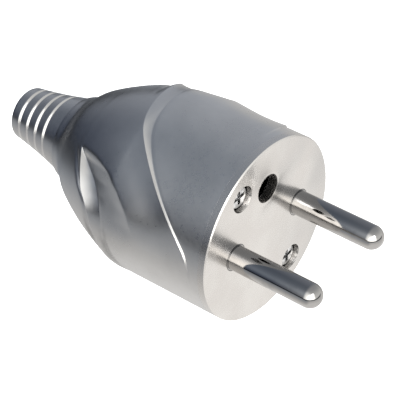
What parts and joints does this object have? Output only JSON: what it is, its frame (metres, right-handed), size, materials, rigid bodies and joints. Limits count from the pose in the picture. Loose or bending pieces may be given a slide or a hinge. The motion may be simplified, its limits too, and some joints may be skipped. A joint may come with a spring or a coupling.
{
  "type": "two-pin mains plug",
  "caption": "Rewirable round mains plug: swirled satin metal housing, bright pin face with round pins and an earth socket, and a grooved bend sleeve for the cord.",
  "frame": {"origin": "centre of the round mating face, midway between the two pins", "axes": "-Y out of the mating face along the pins, +Y towards the cord outlet, X through both pins, +Z towards the earth socket"},
  "size_m": [0.0381, 0.0792, 0.0379],
  "materials": {
    "housing_metal": "satin, cast and blasted",
    "carrier_moulding": "satin silver lacquer",
    "sleeve_moulding": "satin silver-grey",
    "plated_contact": "polished nickel plate",
    "screw_steel": "bright zinc plate",
    "spring_steel": "spring steel",
    "insert_brass": "turned, knurled",
    "inner_moulding": "moulded, pale grey"
  },
  "bodies": {
    "root": {"bend_sleeve": "sleeve_moulding", "cord_clamp_bar": "inner_moulding", "earth_contact": "plated_contact", "earth_spring_ring": "spring_steel", "earth_terminal_screw": "screw_steel", "left_clamp_screw": "screw_steel", "left_plate_screw": "screw_steel", "line_pin": "plated_contact", "line_terminal_screw": "screw_steel", "lower_boss_insert": "insert_brass", "lower_housing_screw": "screw_steel", "neutral_pin": "plated_contact", "neutral_terminal_screw": "screw_steel", "pin_carrier": "carrier_moulding", "rear_housing": "housing_metal", "retaining_plate": "inner_moulding", "right_clamp_screw": "screw_steel", "right_plate_screw": "screw_steel", "upper_boss_insert": "insert_brass", "upper_housing_screw": "screw_steel"}
  },
  "joints": []
}
